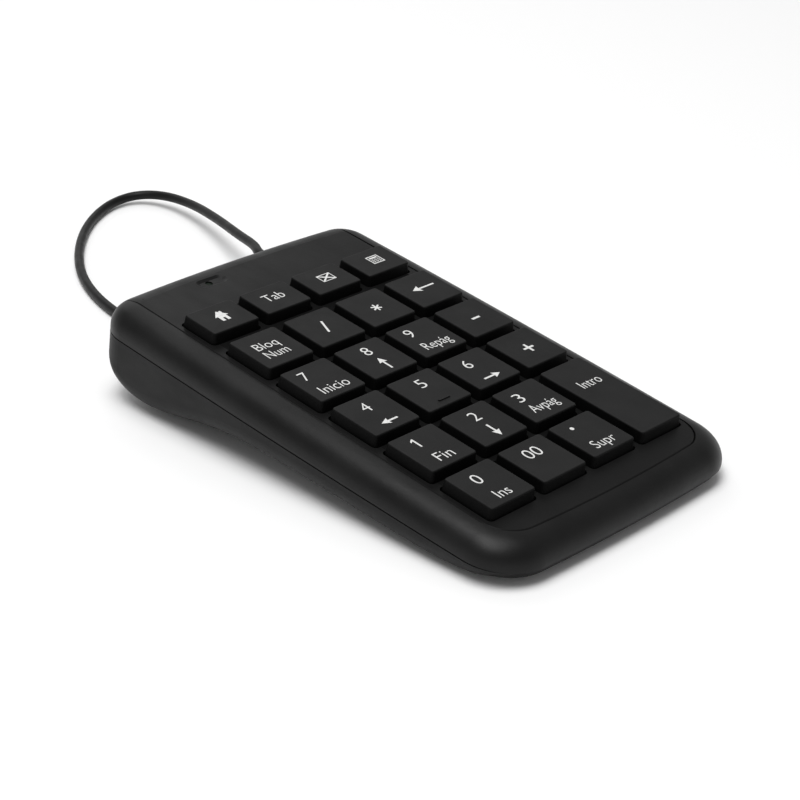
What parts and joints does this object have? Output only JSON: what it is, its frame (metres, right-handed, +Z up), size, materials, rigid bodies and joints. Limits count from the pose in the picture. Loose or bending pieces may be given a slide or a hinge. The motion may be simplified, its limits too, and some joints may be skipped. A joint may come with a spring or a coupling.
{
  "type": "numeric keypad",
  "caption": "Low wedge-shaped USB numeric keypad with a rounded case, inset deck, sliding keycaps on rubber domes, feet and a captive cord with its plug.",
  "frame": {"origin": "on the table, under the middle of the case", "axes": "+X to the right of the keypad, +Y from the user to the rear edge, where the cord leaves, +Z up"},
  "size_m": [0.1096, 0.2527, 0.0285],
  "materials": {
    "key_plastic": "matt moulded, fine grain",
    "case_frame": "satin moulded",
    "deck_plastic": "matt moulded, fine grain",
    "case_bottom": "satin moulded",
    "guide_plastic": "moulded",
    "spring_steel": "drawn wire",
    "dome_rubber": "milky silicone",
    "foil": "clear polyester film",
    "plate_steel": "zinc plated",
    "board": "green solder mask",
    "chip": "moulded epoxy",
    "header_plastic": "natural nylon",
    "lamp": "clear",
    "screw_steel": "black zinc",
    "foot_rubber": "matt",
    "cord_jacket": "soft vinyl, satin",
    "tie_strap": "woven strap",
    "plug_grip": "soft vinyl",
    "plug_shell": "nickel plated",
    "plug_insert": "white",
    "plug_gold": "gold plated"
  },
  "bodies": {
    "case": {"upper_case": "case_frame", "key_deck": "deck_plastic", "bottom_case": "case_bottom", "key_guide": "guide_plastic", "dome_sheet": "dome_rubber", "membrane_top": "foil", "membrane_spacer": "foil", "membrane_bottom": "foil", "backing_plate": "plate_steel", "controller_board": "board", "contact_pad": "foot_rubber", "contact_clamp": "guide_plastic", "controller_chip": "chip", "cable_header": "header_plastic", "status_led": "lamp", "light_pipe": "lamp", "board_screws": "screw_steel", "case_screws": "screw_steel", "rubber_feet": "foot_rubber", "strain_relief": "cord_jacket", "inner_lead": "cord_jacket", "usb_cord": "cord_jacket", "cord_tail": "cord_jacket", "cord_hank": "cord_jacket", "cord_tie": "tie_strap", "usb_plug_body": "plug_grip", "usb_plug_shell": "plug_shell", "usb_plug_insert": "plug_insert", "usb_plug_contacts": "plug_gold"},
    "cap_home": {"key_home": "key_plastic"},
    "cap_tab": {"key_tab": "key_plastic"},
    "cap_mail": {"key_mail": "key_plastic"},
    "cap_calculator": {"key_calculator": "key_plastic"},
    "cap_num_lock": {"key_num_lock": "key_plastic"},
    "cap_divide": {"key_divide": "key_plastic"},
    "cap_multiply": {"key_multiply": "key_plastic"},
    "cap_backspace": {"key_backspace": "key_plastic"},
    "cap_7": {"key_7": "key_plastic"},
    "cap_8": {"key_8": "key_plastic"},
    "cap_9": {"key_9": "key_plastic"},
    "cap_minus": {"key_minus": "key_plastic"},
    "cap_4": {"key_4": "key_plastic"},
    "cap_5": {"key_5": "key_plastic"},
    "cap_6": {"key_6": "key_plastic"},
    "cap_plus": {"key_plus": "key_plastic"},
    "cap_1": {"key_1": "key_plastic"},
    "cap_2": {"key_2": "key_plastic"},
    "cap_3": {"key_3": "key_plastic"},
    "cap_enter": {"key_enter": "key_plastic"},
    "cap_0": {"key_0": "key_plastic"},
    "cap_00": {"key_00": "key_plastic"},
    "cap_decimal": {"key_decimal": "key_plastic"},
    "enter_bar": {"enter_stabilizer": "spring_steel"}
  },
  "joints": [
    {"name": "key_home_press", "type": "slide", "parent": "case", "child": "cap_home", "axis": [0, 0.1219, -0.9925], "range_m": [0, 0.0024], "stiffness_N_per_m": 220, "springref_m": -0.001, "deforming": ["dome_sheet"]},
    {"name": "key_tab_press", "type": "slide", "parent": "case", "child": "cap_tab", "axis": [0, 0.1219, -0.9925], "range_m": [0, 0.0024], "stiffness_N_per_m": 220, "springref_m": -0.001, "deforming": ["dome_sheet"]},
    {"name": "key_mail_press", "type": "slide", "parent": "case", "child": "cap_mail", "axis": [0, 0.1219, -0.9925], "range_m": [0, 0.0024], "stiffness_N_per_m": 220, "springref_m": -0.001, "deforming": ["dome_sheet"]},
    {"name": "key_calculator_press", "type": "slide", "parent": "case", "child": "cap_calculator", "axis": [0, 0.1219, -0.9925], "range_m": [0, 0.0024], "stiffness_N_per_m": 220, "springref_m": -0.001, "deforming": ["dome_sheet"]},
    {"name": "key_num_lock_press", "type": "slide", "parent": "case", "child": "cap_num_lock", "axis": [0, 0.1219, -0.9925], "range_m": [0, 0.0024], "stiffness_N_per_m": 220, "springref_m": -0.001, "deforming": ["dome_sheet"]},
    {"name": "key_divide_press", "type": "slide", "parent": "case", "child": "cap_divide", "axis": [0, 0.1219, -0.9925], "range_m": [0, 0.0024], "stiffness_N_per_m": 220, "springref_m": -0.001, "deforming": ["dome_sheet"]},
    {"name": "key_multiply_press", "type": "slide", "parent": "case", "child": "cap_multiply", "axis": [0, 0.1219, -0.9925], "range_m": [0, 0.0024], "stiffness_N_per_m": 220, "springref_m": -0.001, "deforming": ["dome_sheet"]},
    {"name": "key_backspace_press", "type": "slide", "parent": "case", "child": "cap_backspace", "axis": [0, 0.1219, -0.9925], "range_m": [0, 0.0024], "stiffness_N_per_m": 220, "springref_m": -0.001, "deforming": ["dome_sheet"]},
    {"name": "key_7_press", "type": "slide", "parent": "case", "child": "cap_7", "axis": [0, 0.1219, -0.9925], "range_m": [0, 0.0024], "stiffness_N_per_m": 220, "springref_m": -0.001, "deforming": ["dome_sheet"]},
    {"name": "key_8_press", "type": "slide", "parent": "case", "child": "cap_8", "axis": [0, 0.1219, -0.9925], "range_m": [0, 0.0024], "stiffness_N_per_m": 220, "springref_m": -0.001, "deforming": ["dome_sheet"]},
    {"name": "key_9_press", "type": "slide", "parent": "case", "child": "cap_9", "axis": [0, 0.1219, -0.9925], "range_m": [0, 0.0024], "stiffness_N_per_m": 220, "springref_m": -0.001, "deforming": ["dome_sheet"]},
    {"name": "key_minus_press", "type": "slide", "parent": "case", "child": "cap_minus", "axis": [0, 0.1219, -0.9925], "range_m": [0, 0.0024], "stiffness_N_per_m": 220, "springref_m": -0.001, "deforming": ["dome_sheet"]},
    {"name": "key_4_press", "type": "slide", "parent": "case", "child": "cap_4", "axis": [0, 0.1219, -0.9925], "range_m": [0, 0.0024], "stiffness_N_per_m": 220, "springref_m": -0.001, "deforming": ["dome_sheet"]},
    {"name": "key_5_press", "type": "slide", "parent": "case", "child": "cap_5", "axis": [0, 0.1219, -0.9925], "range_m": [0, 0.0024], "stiffness_N_per_m": 220, "springref_m": -0.001, "deforming": ["dome_sheet"]},
    {"name": "key_6_press", "type": "slide", "parent": "case", "child": "cap_6", "axis": [0, 0.1219, -0.9925], "range_m": [0, 0.0024], "stiffness_N_per_m": 220, "springref_m": -0.001, "deforming": ["dome_sheet"]},
    {"name": "key_plus_press", "type": "slide", "parent": "case", "child": "cap_plus", "axis": [0, 0.1219, -0.9925], "range_m": [0, 0.0024], "stiffness_N_per_m": 220, "springref_m": -0.001, "deforming": ["dome_sheet"]},
    {"name": "key_1_press", "type": "slide", "parent": "case", "child": "cap_1", "axis": [0, 0.1219, -0.9925], "range_m": [0, 0.0024], "stiffness_N_per_m": 220, "springref_m": -0.001, "deforming": ["dome_sheet"]},
    {"name": "key_2_press", "type": "slide", "parent": "case", "child": "cap_2", "axis": [0, 0.1219, -0.9925], "range_m": [0, 0.0024], "stiffness_N_per_m": 220, "springref_m": -0.001, "deforming": ["dome_sheet"]},
    {"name": "key_3_press", "type": "slide", "parent": "case", "child": "cap_3", "axis": [0, 0.1219, -0.9925], "range_m": [0, 0.0024], "stiffness_N_per_m": 220, "springref_m": -0.001, "deforming": ["dome_sheet"]},
    {"name": "key_enter_press", "type": "slide", "parent": "case", "child": "cap_enter", "axis": [0, 0.1219, -0.9925], "range_m": [0, 0.0024], "stiffness_N_per_m": 220, "springref_m": -0.001, "deforming": ["dome_sheet"]},
    {"name": "key_0_press", "type": "slide", "parent": "case", "child": "cap_0", "axis": [0, 0.1219, -0.9925], "range_m": [0, 0.0024], "stiffness_N_per_m": 220, "springref_m": -0.001, "deforming": ["dome_sheet"]},
    {"name": "key_00_press", "type": "slide", "parent": "case", "child": "cap_00", "axis": [0, 0.1219, -0.9925], "range_m": [0, 0.0024], "stiffness_N_per_m": 220, "springref_m": -0.001, "deforming": ["dome_sheet"]},
    {"name": "key_decimal_press", "type": "slide", "parent": "case", "child": "cap_decimal", "axis": [0, 0.1219, -0.9925], "range_m": [0, 0.0024], "stiffness_N_per_m": 220, "springref_m": -0.001, "deforming": ["dome_sheet"]},
    {"name": "enter_bar_turn", "type": "hinge", "parent": "case", "child": "enter_bar", "pos_m": [0.0231, -0.0416, 0.01022], "axis": [0, 0.9925, 0.1219], "range_deg": [0, 13.41]}
  ],
  "couplings": [
    {"joint": "enter_bar_turn", "follows": "key_enter_press", "rad_per_m": 97.157}
  ]
}
